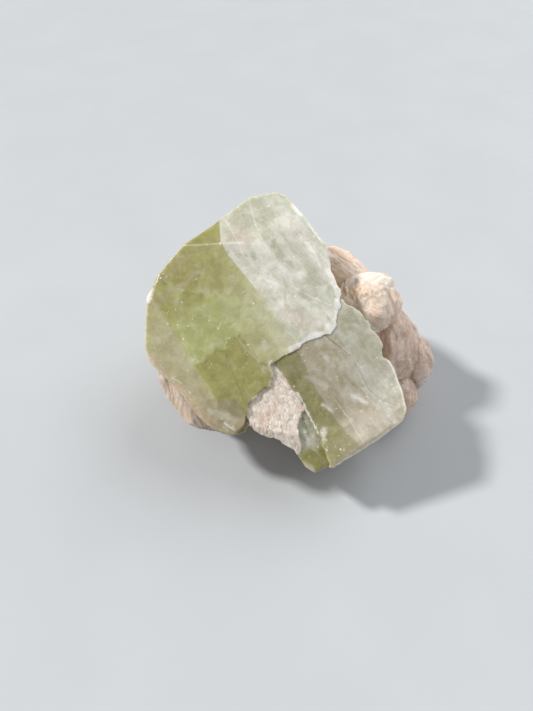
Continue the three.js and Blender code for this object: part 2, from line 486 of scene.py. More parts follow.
def crystal_piece(name, spec, tint_of, material, settings):
    """Makes one crystal, coloured by its tint in its own frame, with its white flakes and painted glints.

    The tint's fourth value is how far light may soak in: little near the contact, where the
    neighbour's body would swallow it."""
    surface = ring_surface(spec, settings.edge_radius)
    flat = flatten(*surface)
    x, y, z = flat.T
    tint = coats(tint_of(settings, x, y, z), settings, ("white", 0.95 * flakes_and_glints(x, y, spec)))
    contact = smooth(np.abs(past_contact(x, y)), 0.3, 2.0)
    soak = contact * (1 - 0.8 * pale_rim(x, y)) if spec["seam"] is not NOWHERE else 1 + 0 * x
    placed = [to_part(points, settings) for points in surface]
    tint = np.hstack([tint, soak[:, None]])
    make_piece(name, [placed], {"tint": tint}, material)


# ---- shapes of the crystals: outlines in the crystal frame, in millimetres ----

CONTACT = [(0.5, -1.6), (0.8, 1), (1.2, 5), (1.9, 8), (2.7, 10.7), (2.6, 13.2), (2.3, 17), (2.0, 20.6),
           (2.3, 23.4), (4.6, 27.7)]
LAPPED = [(x + 1.4, y) for x, y in CONTACT[:-1]] + [(6.2, 27.7)]
FEATHER = [(CONTACT[0][0] - 0.2, CONTACT[0][1])] + [(x - 0.8, y) for x, y in CONTACT[1:-1]] + [(4.0, 27.6)]
NOWHERE = [(900, 900)]


def slab(outline, pole, top, depth, seed, **others):
    """A slab's measures, with plain defaults."""
    spec = {
        "outline": outline, "pole": pole, "top": top, "depth": depth, "seed": seed,
        "top_facets": [], "bottom_facets": [], "columns": 680, "rings": 84, "wall_rows": 28,
        "bites": 50, "bite_width": 1.1, "wear": 0.1, "seam": NOWHERE, "relief": growth_relief,
        "sparkles": (), "loose": 12,
        "roughness_of": lambda x, y: 0.07 + 0 * x, "slope_of": lambda x, y: (0 * x, 1.0 + 0 * x),
    }
    spec.update(others)
    return spec


def past_contact(x, y):
    """How far a point lies to the right of the contact line, along x."""
    corners = np.array(CONTACT)
    return x - np.interp(y, corners[:, 1], corners[:, 0])


def contact_join(col, settings, x, y):
    """Both crystals take one colour near their contact, where it fades in the near half."""
    offset = past_contact(x, y)
    join = coats(np.array(settings.leaf), settings, ("pale_green", smooth(offset, -4.5, -0.5)),
                 ("milky", 0.75 * smooth(offset, -0.5, 3.5)))
    near = smooth(np.abs(offset), 2.4, 0.4) * (0.35 + 0.65 * smooth(y, 12.5, 9)) * smooth(y, 15, 12)
    return blend(col, join, near)


def window_mask(x, y):
    """1 inside the big crystal's broken near window, with its scalloped edge."""
    wobble = layered_noise(plane(x, y) * 0.55, 5, 3) * 0.45
    far = 6.0 + 0.9 * np.abs(np.sin(x * 0.62 + 2.0)) + wobble
    right = -4.9 + 0.5 * np.abs(np.sin(y * 1.1)) + wobble * 0.8 + 1.6 * smooth(y, 1, -2)
    return (smooth(y, far + 0.1, far - 0.6) * smooth(x, right + 0.2, right - 0.5)
            * smooth(x, -15.4 + wobble * 0.5, -14.5 + wobble * 0.5))


def green_relief(x, y):
    """Growth marks, with the near window broken a little lower and shelly inside."""
    shell = np.abs(noise(plane(x * 0.5, y * 0.5), 61))
    under = smooth(y, 6.2, 5.6) * smooth(x, -14.9, -15.3)
    lowered = np.maximum(window_mask(x, y), 0.6 * under)
    veined = smooth(y + 0.35 * (x + 15), -0.6, -1.6) * smooth(x, -11.4, -12.4)
    return growth_relief(x, y) - lowered * (0.03 + 0.04 * shell) - veined * (0.03 + 0.10 * shell)


def green_crystal_spec():
    """The big green crystal."""
    return slab(
        LAPPED + [
            (-3.7, 26.9), (-8.2, 25.7), (-12, 24.3), (-15.2, 22.9), (-17.8, 19.6), (-21.2, 15.3),
            (-22, 12.1), (-21, 8), (-20.0, 3), (-19.8, -1.3), (-18.8, -4.9), (-17.4, -7.0), (-15.9, -8.4),
            (-12.6, -7.8), (-10.9, -5.8), (-9.5, -5.1), (-5.6, -4.9), (-3.6, -3.1), (-3, -1.5)],
        (-8, 9), -0.05, 18.5, 11,
        top_facets=[((-3.7, 26.7, -0.05), 14, 56), ((-14.6, 0, 0), 24, 174),
                    ((-15, 22.6, -1.4), 50, 131)],
        bottom_facets=[((-18.5, 0, -9), 140, 200), ((-10, -5, -10), 130, 270)],
        seam=LAPPED, bites=64, wear=0.12, relief=green_relief, loose=18,
        sparkles=(
            (2.0, 23.1, 0.12, 4), (-14.6, 22.6, 0.45, 26), (-12.2, 23.4, 0.3, 5), (-9.3, 23.1, 0.4, 7),
            (-6, 20, 0.25, 5), (-9, 19.2, 0.3, 7), (-13.6, 17.6, 0.4, 7), (-13, 14.5, 0.8, 14),
            (-10.5, 13.9, 0.12, 3), (-7.4, 9.6, 0.3, 6), (-7.9, 12.4, 0.2, 3), (-12.6, 4.5, 0.2, 4),
            (-3.2, -1.0, 0.3, 9), (-5.2, 3.4, 0.8, 9), (-6.6, 6.8, 0.5, 6), (-16, -6.8, 0.7, 10),
            (-19.4, 6.4, 0.5, 8), (-18.6, 2, 0.8, 8), (-7.5, -4.6, 0.8, 10)),
        roughness_of=lambda x, y: 0.03 + 0.5 * smooth(y, -2, -4) * smooth(x, -14, -12))


def pale_relief(x, y):
    """Growth marks, dipping under the green crystal's face past the contact line."""
    return growth_relief(x, y) - 0.11 * smooth(past_contact(x, y), 0.25, -0.6)


def pale_crystal_spec():
    """The colourless crystal against its right side, with a scalloped slope at the near end."""
    def near_slope(x, y):
        near = smooth(y, 11, 6) * smooth(x, 1.5, 3.5)
        return 0.12 * near, 0.6 + 0.6 * near

    return slab(
        FEATHER + [
            (12.5, 28.7), (17.3, 26.8), (18.4, 25.2), (18.8, 20.8), (18.9, 17.4), (19.1, 12),
            (17.8, 8.5), (17, 6.2), (16.8, 4.4), (16.3, 3.1), (15.1, 1.2), (13.4, -0.8), (11.5, -2.3),
            (9.5, -3.1), (7.6, -2.5), (5.6, -1.8), (3, -2)],
        (10, 12), -0.02, 18.5, 23,
        top_facets=[((-3.7, 26.7, -0.02), 14, 56), ((8.6, 0, 0), 9, 0), ((18.6, 25, -2.5), 48, 32)],
        bottom_facets=[((17, 12, -17), 140, 0)],
        seam=FEATHER, bites=46, bite_width=1.5, wear=0.06, slope_of=near_slope, loose=34,
        relief=pale_relief,
        sparkles=(
            (18.0, 21.4, 0.45, 30), (7.6, 24.4, 0.4, 8), (9.6, 22.8, 0.2, 4), (3.2, 22.2, 0.5, 8),
            (15.6, 15.6, 0.4, 10), (16.4, 12.5, 0.5, 14), (6, 14, 0.5, 16), (5.2, 10.2, 0.5, 10),
            (7, 7.4, 0.3, 8), (9, 13.2, 0.4, 6), (12.6, 12.4, 0.3, 5), (4, 5, 0.6, 8),
            (6.5, 3.6, 0.9, 10), (8.6, 0.4, 0.8, 16), (12, -0.6, 0.8, 14), (15.6, 3, 0.6, 16),
            (16.8, 7.4, 0.5, 12), (4.6, -0.8, 0.8, 14), (2.4, 18, 0.4, 4)),
        roughness_of=lambda x, y: 0.03 + 0.45 * smooth(y, 12, 6) * smooth(x, 1.5, 4))


def lower_relief(x, y):
    """Growth marks, a raised far end, a shelly near end and two open cracks."""
    shell = np.abs(noise(plane(x * 0.35, y * 0.35), 71))
    crack = sum(stroke(x, y, path, 0.16, 1, 72) for path in LOWER_CRACKS)
    rise = 0.10 * smooth(y, -5, -1) * smooth(x, 8, 4)
    return growth_relief(x, y) + rise - smooth(y, -12, -19) * shell * 0.16 - crack * 0.08


LOWER_CRACKS = ([(8.4, -2.4), (9.2, -5.2), (10.3, -8.7)], [(9.5, -15.4), (10.1, -18.0), (12.1, -20.9)])


def lower_crystal_spec():
    """The crystal one step lower, at the front right."""
    return slab(
        [(13, 2), (15.4, 1.6), (16.2, -0.6), (16.9, -2.4), (17.2, -5.8), (17, -9.5),
         (16.2, -11.4), (15.6, -12.2), (16.1, -13.4), (16, -14.8), (14.7, -19.4), (13.4, -22.4),
         (11.6, -23.9), (6, -24.2), (-3.9, -23.9), (-4.7, -23.2), (-3.1, -17.3), (-2.2, -9.1),
         (-2.2, -2), (-1.6, 0), (4, 1)],
        (6, -11), -0.4, 14.6, 37,
        top_facets=[((9.0, 0, -0.4), 8.5, 0), ((6, -6, -0.4), 1.7, 270), ((0, -23.1, -0.95), 38, 268)],
        bottom_facets=[((-2, -23.5, -10.5), 150, 233), ((17, -8, -6), 140, 0)],
        bites=44, bite_width=1.0, relief=lower_relief, loose=36,
        sparkles=(
            (7.6, -16.8, 0.7, 20), (11, -18.6, 0.8, 22), (13.8, -17.6, 0.5, 12), (5.9, -11, 0.35, 8),
            (8.5, -9.4, 0.3, 6), (-1.9, -16.6, 0.6, 20), (-3, -19.6, 0.6, 14), (0.5, -21.8, 0.15, 4),
            (15.4, -12.2, 0.4, 10), (1.2, -14, 0.5, 8), (-0.6, -23.2, 0.8, 14), (5, -23.4, 1.2, 8),
            (10.6, -6.8, 0.5, 6), (3.4, -4.6, 0.6, 6)),
        roughness_of=lambda x, y: 0.08 + 0.35 * smooth(x, 12, 15) * smooth(y, -15, -11)
        + 0.25 * smooth(x, 0, -2))


def tip_crystal_spec():
    """The small green crystal that shows beside and under the lower crystal's front tip."""
    return slab(
        [(-1.6, -9.5), (-1.4, -16), (-2, -23.0), (-4.2, -23.3), (-7.4, -22.8), (-8.3, -20.8), (-8.3, -18.6),
         (-7.0, -16.9), (-6.5, -14.9), (-5.2, -13.4), (-3.4, -12.0), (-2.9, -9.5)],
        (-5.0, -18.6), -1.2, 9.6, 41,
        top_facets=[((-4, -12, -1.2), 8, 262), ((-7.2, -20, -2.3), 30, 200), ((-5.0, -22.4, -2.5), 48, 262)],
        bottom_facets=[((-8, -20, -9), 150, 200)],
        columns=420, rings=60, wall_rows=22, bites=30, bite_width=0.7, loose=10,
        sparkles=((-3.6, -15.0, 0.7, 26), (-4.6, -16.4, 0.7, 16), (-3.4, -18.4, 0.5, 14)))


def spur_crystal_spec():
    """The small green corner under the green crystal's front edge."""
    return slab(
        [(-11.6, -6.5), (-12.8, -8.4), (-13.9, -9.1), (-15.5, -9), (-16.5, -7.7),
         (-16.2, -6), (-14, -5)],
        (-14.1, -7.2), -5.8, 6, 43,
        top_facets=[((-14, -7, -5.8), 12, 250)], bottom_facets=[((-14, -9, -11), 150, 250)],
        columns=220, rings=32, wall_rows=20, bites=12, bite_width=0.7)


# ---- colour zones of the crystals ----

GREEN_STROKES = (
    # Painted highlight along the top edge, ending in a painted highlight spot.
    ("white", 0.55, 0.16, 0.9, [(-4, 26.7), (-1, 24.9), (2.1, 23.1)]),
    ("white", 0.95, 0.34, 0.9, [(2.0, 23.2)]),
    ("tan", 0.45, 0.3, 1.0, [(-15, 22.4), (-14.9, 12), (-15.1, -0.5)]),
    # Painted light outline along the left edge.
    ("milky", 0.55, 0.35, 0.9, [(-15.4, 22.3), (-18, 19.0), (-21.2, 14.9), (-21.7, 12), (-20.7, 7.8)]),
    ("white", 0.95, 0.75, 0.7, [(-14.3, 22.9), (-15.4, 22.0)]),
    ("grey_beige", 0.65, 1.5, 1.0, [(-13.5, 20.6), (-8.6, 20.2), (-4.5, 21.0)]),
    ("tan", 0.55, 2.2, 1.0, [(-17.6, 16.8), (-16.6, 12.6)]),
    ("window", 0.55, 2.4, 1.0, [(-12.2, 15.6), (-9.4, 16.6), (-8.0, 18.6)]),
    ("leaf", 0.5, 2.6, 1.0, [(-9.8, 12.4), (-8.6, 9.2)]),
    ("milky", 0.30, 0.8, 1.0, [(-10.2, 7.6), (-8.4, 6.9)]),
    ("milky", 0.30, 0.25, 1.0, [(-5.4, 6.4), (-5.2, 3.0), (-4.6, 0.2)]),
    # Painted highlight along the near edge.
    ("white", 0.5, 0.22, 0.9, [(-9.4, -4.9), (-5.6, -4.7), (-3.4, -2.9)]),
    ("white", 0.8, 0.35, 0.8, [(-3.2, -1.2), (-2.6, -0.9)]),
    ("milky", 0.35, 1.2, 1.0, [(-17.2, -2.6), (-15.2, -4.6), (-14.2, -6.4)]),
    ("white", 0.6, 0.3, 0.9, [(-16.2, -5.6), (-15.3, -7.6)]),
    ("pink_tan", 0.5, 0.8, 1.0, [(-19.4, 5.4), (-18.6, 0.5), (-17.6, -4.4)]),
    ("white", 0.5, 0.22, 0.9, [(-19.9, 7.2), (-18.8, 5.2)]),
    ("window", 0.6, 0.7, 1.0, [(-11.6, -1.2), (-10.2, -3.8)]),
    ("window", 0.5, 0.9, 1.0, [(-13.6, 3.0), (-12.6, 0.6)]),
)


def green_tint(settings, x, y, z):
    """Olive at the far end, brighter in the middle, tan down the left bevel and pale at the right.

    The broken near end is a saturated window with grey beige to its left."""
    place = np.stack([x, y, z * 0.6], -1)
    wobble = layered_noise(place * 0.45, 5, 3) * 0.5
    cloud = layered_noise(place * np.array([0.20, 0.13, 0.2]), 6, 5)
    patch = layered_noise(place * 0.55, 15, 4)
    bevel = smooth(x + 0.08 * (12 - y) + wobble * 0.3, -14.7, -15.3)
    facet = smooth((x + 3.7) * 0.563 + (y - 26.7) * 0.826, -0.05, 0.05)
    window = window_mask(x, y)
    inner = coats(np.array(settings.window), settings, ("olive", smooth(patch, -0.1, 0.7) * 0.6))
    veil = smooth(y, 6.5, 5.5) * smooth(x, -5.4, -4.6) * smooth(x, 1.8, 0.2)
    under = smooth(y + wobble, 6.2, 5.2) * smooth(x - wobble * 0.6, -15.0, -15.6)
    lower = smooth(y + 0.55 * (x + 15) + wobble * 1.6, -1.2, -1.9) * smooth(x, -11.2, -12.4)
    edge = smooth(x - 0.12 * (12 - y) + wobble, -19.6, -21.2) * smooth(y, 15, 12)
    col = coats(
        np.array(settings.olive), settings,
        ("leaf", smooth(y + 4 * cloud + 0.25 * x, 18, 11.5)),
        ("pale_green", smooth(x + 1.6 * cloud, -6.0, 2.2) * (0.30 + 0.65 * smooth(y, 19, 8))),
        ("milky", 0.22 * smooth(patch, 0.3, 1.1)),
        ("tan", bevel * (0.55 + 0.25 * cloud + 0.35 * smooth(y, 19, 12))),
        ("grey_beige", 0.45 * smooth(y + 0.2 * x + wobble, 19.8, 22.5) * smooth(x, -3, -9)),
        ("window", 0.9 * facet))
    col = coats(
        blend(col, inner, window * 0.95), settings,
        ("grey_beige", 0.35 * veil),
        ("milky", 0.30 * veil * smooth(patch, 0.0, 0.8)),
        ("grey_beige", under * 0.75),
        ("grey_beige", lower * 0.85, 0.74),
        ("pink_tan", lower * smooth(patch, 0.0, 0.6) * 0.35),
        ("pink_tan", edge * 0.8))
    col = paint(contact_join(col, settings, x, y), settings, x, y, GREEN_STROKES, 100)
    return coats(col, settings, ("milky", 0.16 * veils(x, y, 16) * (1 - 0.5 * window)),
                 ("grey_beige", 0.35 * smooth(z, -2.5, -7)))


PALE_STROKES = (
    ("milky", 0.45, 2.6, 1.0, [(3.8, 17), (5.4, 12), (6.3, 8), (7.2, 3)]),
    ("white", 0.80, 1.8, 1.0, [(5.2, 13), (6.2, 10.7), (5.6, 8.0), (5.2, 6.4)]),
    ("white", 0.50, 1.6, 1.0, [(9.0, 12.4), (11.5, 9.8)]),
    ("pale_pink", 0.7, 2.4, 1.0, [(5.4, 4.6), (6.4, 1.6), (8.6, -0.4)]),
    ("pale_pink", 0.5, 1.8, 1.0, [(15.6, 17.6), (16.8, 14.0)]),
    ("pale_pink", 0.5, 2.2, 1.0, [(5.4, 24.4), (5.6, 20.4)]),
    ("white", 0.55, 0.16, 1.0, [(12.0, 28.3), (10.4, 24.5), (9.1, 20), (8.6, 15)]),
    ("cool_grey", 0.8, 1.2, 1.0, [(12.2, 25.5), (11.2, 21.5), (10.4, 17)]),
    ("cool_grey", 0.75, 2.0, 1.0, [(11.2, 7.6), (11.8, 4.4), (12.4, 2.2)]),
    ("cool_grey", 0.5, 0.9, 1.0, [(14.2, 15), (13.6, 10)]),
    ("pale_green", 0.5, 1.6, 1.0, [(2.2, 3), (2.6, 6.5)]),
    ("white", 0.6, 0.16, 0.9, [(8.4, 9.2), (10.4, 5.2), (12.8, 1.4)]),
    ("white", 0.7, 0.45, 0.9, [(15.9, 14.4), (16.1, 11.2), (15.4, 8.8)]),
    # Painted highlights along the right edge.
    ("white", 0.95, 0.55, 0.7, [(18.3, 22.4), (18.4, 19.8)]),
    ("white", 0.7, 0.3, 0.9, [(18.6, 17.2), (18.6, 12.6)]),
    # Painted highlight along the top edge, carried on from the green crystal.
    ("white", 0.6, 0.26, 0.9, [(2.4, 22.9), (5.5, 21.0)]),
    ("white", 0.5, 0.14, 0.9, [(5.5, 26.4), (5.0, 22.0), (4.4, 18.6)]),
    ("crack", 0.30, 0.12, 0.9, [(3.2, 19.8), (5.6, 17.6), (6.2, 16.8)]),
    ("crack", 0.22, 0.12, 0.9, [(9.8, 12.8), (10.4, 10.6), (10.2, 9.4)]),
)


def pale_rim(x, y):
    """1 on the colourless crystal's scalloped near slope."""
    wobble = layered_noise(plane(x, y) * 0.7, 18, 3)
    path = [(2.6, -2.2), (5.6, -1.8), (7.6, -2.5), (9.5, -3.1), (11.5, -2.3), (13.4, -0.8),
            (15.1, 1.2), (16.3, 3.1), (17, 6.2), (17.8, 9.5)]
    gap = gap_to_path(x, y, path)
    return smooth(gap, 1.7 + 0.6 * wobble, 1.1 + 0.5 * wobble)


def pale_tint(settings, x, y, z):
    """Milky with clearer grey bands along the growth, greener at the contact, white at the rim: partly
    bruised white, partly painted light.
    """
    place = np.stack([x, y, z * 0.6], -1)
    streak = layered_noise(place * np.array([0.50, 0.14, 0.3]), 7, 5)
    wobble = layered_noise(place * 0.5, 8, 4)
    middle = smooth(x, 7.5, 10.5) * smooth(x, 15.5, 12.5)
    rim = pale_rim(x, y) * (0.65 + 0.35 * smooth(wobble, -0.5, 0.4))
    col = coats(
        np.array(settings.milky), settings,
        ("cool_grey", smooth(streak + 0.4 * middle, -0.3, 0.9) * 0.85),
        ("mauve_grey", 0.45 * smooth(y, 19, 22) * smooth(x, 9.5, 8.5)),
        ("pale_green", smooth(x + wobble, 4.4, 1.6) * smooth(y, 14, 5) * 0.8),
        ("cool_grey", smooth(y + 0.2 * x, 24.4, 25.0) * 0.5))
    col = paint(contact_join(col, settings, x, y), settings, x, y, PALE_STROKES, 200)
    return coats(
        col, settings,
        ("white", 0.35 * veils(x, y, 26) * (0.5 + 0.5 * smooth(y, 20, 12))),
        ("cool_grey", 0.5 * veils(x, y, 29)),
        ("white", 0.25 * smooth(layered_noise(place * 1.4, 27, 3), 0.45, 0.9)),
        # The rim's white is partly bruised white and partly painted light, where light comes through the
        # thin rim.
        ("white", 0.85 * rim * smooth(y, 12, 7) * smooth(z, -3, -1)),
        ("cool_grey", 0.5 * smooth(z, -3.5, -8)))


LOWER_STROKES = (
    ("white", 0.45, 0.18, 1.0, [(3.2, -13.0), (3.3, -18.5), (3.0, -23.2)]),
    ("milky", 0.7, 1.6, 1.0, [(6.2, -13.6), (7.4, -16.6)]),
    ("white", 0.60, 0.7, 1.0, [(6.4, -14.6), (7.6, -17.2)]),
    ("milky", 0.60, 0.9, 1.0, [(6.2, -6.0), (6.6, -8.0)]),
    ("milky", 0.60, 1.3, 1.0, [(11.6, -12.4), (12.8, -16.6)]),
    ("white", 0.45, 0.7, 1.0, [(10.8, -19.4), (12.2, -20.8)]),
    ("milky", 0.50, 0.28, 0.9, [(9.8, -4.6), (10.3, -9.5), (11.0, -14.2)]),
    ("milky", 0.45, 0.7, 1.0, [(7.6, -7.5), (8.2, -12)]),
    # Painted highlights along the right, near and left edges.
    ("white", 0.75, 0.28, 0.9, [(16.0, -11.6), (15.7, -14.8), (14.4, -19.3), (13.1, -22.3)]),
    ("white", 0.45, 0.24, 0.9, [(13.0, -22.6), (11.4, -23.6), (6.0, -23.9), (-3.5, -23.6)]),
    ("white", 0.85, 0.45, 0.6, [(-2.0, -8.6), (-2.4, -12.0), (-3.0, -16.5)]),
    ("white", 0.70, 0.8, 0.9, [(-1.6, -16.8), (-2.6, -18.2)]),
    ("white", 0.60, 0.5, 0.9, [(0.8, -13.0), (1.6, -15.0)]),
    ("milky", 0.55, 0.9, 1.0, [(1.2, -7.0), (3.4, -10.4)]),
    ("white", 0.40, 1.6, 1.0, [(7.0, -3.0), (12.6, -1.0), (15.0, 0.6)]),
    ("crack", 0.75, 0.13, 0.9, [(8.4, -2.4), (8.9, -3.8), (9.1, -4.8)]),
    ("crack", 0.35, 0.12, 0.9, [(9.1, -4.8), (10.3, -8.7), (10.0, -12.0), (9.5, -15.4)]),
    ("crack", 0.55, 0.11, 0.9, [(9.5, -15.4), (10.1, -18.0), (12.1, -20.9)]),
    ("crack", 0.25, 0.10, 0.9, [(12.2, -6.4), (13.4, -8.6)]),
)


def lower_tint(settings, x, y, z):
    """An olive growth zone down the left side, mauve grey beside it, straw at the near end."""
    place = np.stack([x, y, z * 0.6], -1)
    streak = layered_noise(place * np.array([0.8, 0.16, 0.3]), 9, 5)
    wobble = layered_noise(place * 0.5, 10, 4)
    band = np.interp(y, (-23.0, -20.6, -16.3, -11.0, -2.7), (2.3, 1.7, 1.3, 1.2, 2.5))
    zone = smooth(x - band + 0.3 * wobble * smooth(y, -16, -8), 0.35, -0.35)
    speck = smooth(layered_noise(place * 1.5, 37, 3), 0.5, 0.9)
    olive = coats(
        np.array(settings.window) * 0.72, settings,
        ("window", 0.2 + 0.5 * smooth(wobble, -0.3, 0.6) + 0.3 * smooth(y, -11, -17)),
        ("grey_beige", 0.3 * smooth(y, -11, -17) + 0.35 * smooth(x, 0.2, 1.8)))
    col = coats(
        np.array(settings.mauve_grey), settings,
        ("cool_grey", smooth(x + 1.2 * wobble, 8.5, 11.5) * 0.6),
        ("grey_beige", 0.4 * smooth(streak, 0.2, -0.6)),
        ("milky", smooth(streak, 0.0, 0.8) * (0.30 + 0.45 * smooth(y, -8, -16))),
        ("straw", smooth(y + 0.15 * x + wobble, -16.0, -20.0) * 0.8),
        ("pale_pink", 0.4 * smooth(x + 0.5 * y, 1.5, -3.0) * smooth(x, 3, 5)),
        ("milky", 0.5 * smooth(x - 0.3 * y + 2 * wobble, 15.0, 19.0)))
    col = coats(blend(col, olive, zone * 0.92), settings, ("straw", smooth(y, -22.6, -23.2) * 0.75))
    col = coats(
        paint(col, settings, x, y, LOWER_STROKES, 300), settings,
        ("milky", veils(x, y, 36) * (0.10 + 0.45 * smooth(x, 3.5, 5))),
        ("grey_beige", 0.4 * veils(x, y, 39)),
        ("white", speck * (0.1 + 0.3 * smooth(y, -14, -18) * smooth(x, 3, 6))))
    dimmed = col * (0.86 + 0.14 * smooth(y, -13, -19))[..., None]
    return coats(dimmed, settings, ("grey_beige", 0.5 * smooth(z, -4.5, -8)))


def small_tint(settings, x, y, z):
    """Olive, paler in clouds, and clear grey with bruised white where it runs in under its neighbours."""
    cloud = layered_noise(np.stack([x, y, z], -1) * 0.6, 12, 4)
    inner = smooth(y + 0.35 * (x + 5) + 0.8 * cloud, -20.0, -17.4) * smooth(z, -4, -2.5)
    return coats(
        np.array(settings.olive) * 0.84, settings,
        ("grey_beige", smooth(cloud, -0.1, 0.8) * 0.6),
        ("cool_grey", 0.8 * inner, 0.92),
        ("milky", 0.6 * inner * smooth(cloud, 0.0, 0.9)),
        ("white", 0.3 * veils(x, y, 46)))


# ---- stilbite ----

PLATE_SINK = 0.25
PLATE_RADIUS = 0.3
LUMP_SINK = 0.3


def blades(points, centres, outs, flows, long, wide, high, seed):
    """Overlapping blades: at each point the highest of many long thin mounds.

    In a blade's own axes, u along the flow, v across and w out, all in its lengths, it rises
    high * size * (0.35 + 0.5 * sqrt(1 - u^2 - v^2 - w^2) + lean * (u, v)) where u^2 + v^2 + w^2 < 1.
    Returns the height and each point's blade tone, from -1 to 1."""
    rng = np.random.default_rng(seed)
    best = np.zeros(len(points))
    tone = np.zeros(len(points))
    for centre, out, flow in zip(centres, outs, flows):
        size = rng.uniform(0.5, 1.15)
        lean = rng.uniform(-0.3, 0.3, 2)
        own = rng.uniform(-1, 1)
        side = np.cross(out, flow)
        flow = flow + side * rng.normal(0, 0.16)
        side = np.cross(out, flow)
        offset = points - centre
        u = offset @ flow / (long * size)
        v = offset @ side / (wide * size)
        w = offset @ out / long
        inside_it = 1 - u * u - v * v - w * w
        rise = size * (0.35 + 0.5 * np.sqrt(np.clip(inside_it, 0, 1)) + lean[0] * u + lean[1] * v)
        rise = np.where(inside_it > 0, high * rise, 0)
        better = rise > best
        best = np.where(better, rise, best)
        tone = np.where(better, own, tone)
    return best, tone


def sphere_directions(count, seed):
    """Directions spread at random over a sphere."""
    way = np.random.default_rng(seed).normal(size=(count, 3))
    return way / np.linalg.norm(way, axis=1, keepdims=True)


def strands(points, root, size, seed):
    """Strands that run away from a root, and their place (across three ways, along) in mm.

    The across place is size * the unit ray from the root, so it is the same all along a ray. The
    height is broad folds, ridged bundles 1 - |noise| and fine fibres, each noise of the across
    place with a little of the distance along it, bent by a slower noise."""
    ray = points - root
    reach = np.linalg.norm(ray, axis=-1, keepdims=True)
    across = ray / reach * size
    bend = np.stack([noise(points * 0.22, seed + k) for k in (11, 12, 13)], -1)
    across = across + bend * 0.9
    folds = layered_noise(across * 0.34 + reach * 0.05, seed, 2)
    bundles = 1 - np.abs(noise(across * 0.85 + reach * 0.10, seed + 2)) ** 0.8
    bundles = bundles * (0.4 + 0.6 * smooth(noise(points * 0.3, seed + 3), -0.5, 0.5))
    fine = noise(across * 2.4 + reach * 0.16, seed + 4)
    rise = 0.9 * folds + 0.65 * (bundles - 0.6) + 0.16 * fine
    return rise, bundles, across + reach * 0.12


def sheaf_surface(lump, settings, node_name):
    """A sheaf as a lumpy ellipsoid of strands that run away from its root, with a few blades.

    A point is centre + turn(half sizes * unit direction * (1 + low lumps)), pushed out by the
    height of the strands there and by the blades that stand above them."""
    rows, columns, seed = lump["rows"], lump["columns"], lump["seed"]
    polar = np.linspace(0, np.pi, rows + 2)[1:-1, None]
    round_ = np.linspace(0, 2 * np.pi, columns, endpoint=False)[None, :]
    way = np.stack([np.sin(polar) * np.cos(round_), np.sin(polar) * np.sin(round_),
                    np.cos(polar) + 0 * round_], -1)
    way = flatten([0, 0, 1.0], way, [0, 0, -1.0])
    half = np.array(lump["half"], float)
    turn = np.array(Matrix.Rotation(lump["turn"][2], 3, "Z") @ Matrix.Rotation(lump["turn"][1], 3, "Y")
                    @ Matrix.Rotation(lump["turn"][0], 3, "X"))
    low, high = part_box(node_name)
    centre = (np.array((low + high) / 2) - FOOT) / MM + lump["nudge"]
    root = centre + np.array(lump["root"], float)

    def place(directions):
        swell = 1 + lump["lumps"] * layered_noise(directions * lump["lump_scale"] + seed, seed, 3)
        out = (directions / half) @ turn.T
        out /= np.linalg.norm(out, axis=-1, keepdims=True)
        return centre + (directions * half * swell[..., None]) @ turn.T, out

    body, out = place(way)
    centres, outs = place(sphere_directions(lump["count"], seed))
    flows = centres - root
    flows -= outs * (flows * outs).sum(1, keepdims=True)
    flows /= np.linalg.norm(flows, axis=1, keepdims=True)
    rise, tone = blades(body, centres, outs, flows, *lump["blade"], seed)
    folds, bundles, fibre = strands(body, root, half.mean(), seed)
    push = settings.blade_relief * folds + 0.45 * rise
    points = body + out * (push - LUMP_SINK)[:, None]
    points[:, 2] = np.maximum(points[:, 2], 0.0)
    return points, fibre, bundles, tone + lump["pale"], (rows, columns)


def plate_surface(spec, settings):
    """A plate of strands and blades in the crystal frame, in part millimetres."""
    corners = np.array(spec["outline"], float)
    root, seed = np.array(spec["root"], float), spec["seed"]
    spots = np.random.default_rng(seed).uniform(corners.min(0), corners.max(0), (spec["count"], 2))
    flows = spots - root[:2]
    flows /= np.linalg.norm(flows, axis=1, keepdims=True)
    flat = np.zeros((len(spots), 1))
    centres, flows = np.hstack([spots, flat]), np.hstack([flows, flat])
    outs = np.hstack([flat, flat, flat + 1])

    def over(x, y):
        points = plane(np.ravel(x), np.ravel(y))
        rise, tone = blades(points, centres, outs, flows, *spec["blade"], seed)
        folds, bundles, fibre = strands(points, root, spec["grain"], seed)
        return spec["relief_scale"] * folds + 0.6 * rise, bundles, tone, fibre

    relief = {"relief": lambda x, y: over(x, y)[0].reshape(np.shape(x)) - PLATE_SINK}
    points = flatten(*ring_surface({**spec, **relief}, PLATE_RADIUS))
    _, bundles, tone, fibre = over(points[:, 0], points[:, 1])
    fibre = fibre + plane(points[:, 2] * 0.3)
    rows = spec["rings"] - 1 + BEND_ROWS + spec["wall_rows"] + spec["rings"] // 4
    return (to_part(points, settings) - FOOT) / MM, fibre, bundles, tone, (rows, spec["columns"])


def stilbite_piece(name, surfaces, tint_of, material):
    """One piece made of its sheaves and plates, coloured by tint_of(points, bundles, tone)."""
    placed, fibres, tints = [], [], []
    for points, fibre, bundles, tone, (rows, columns) in surfaces:
        tints.append(tint_of(points, bundles, tone))
        fibres.append(fibre)
        metres = points * MM + np.array(FOOT)
        placed.append((metres[0], metres[1:-1].reshape(rows, columns, 3), metres[-1]))
    tints = np.vstack(tints)
    attributes = {"tint": np.hstack([tints, 0 * tints[:, :1] + 1]), "fibre": np.vstack(fibres)}
    make_piece(name, placed, attributes, material)


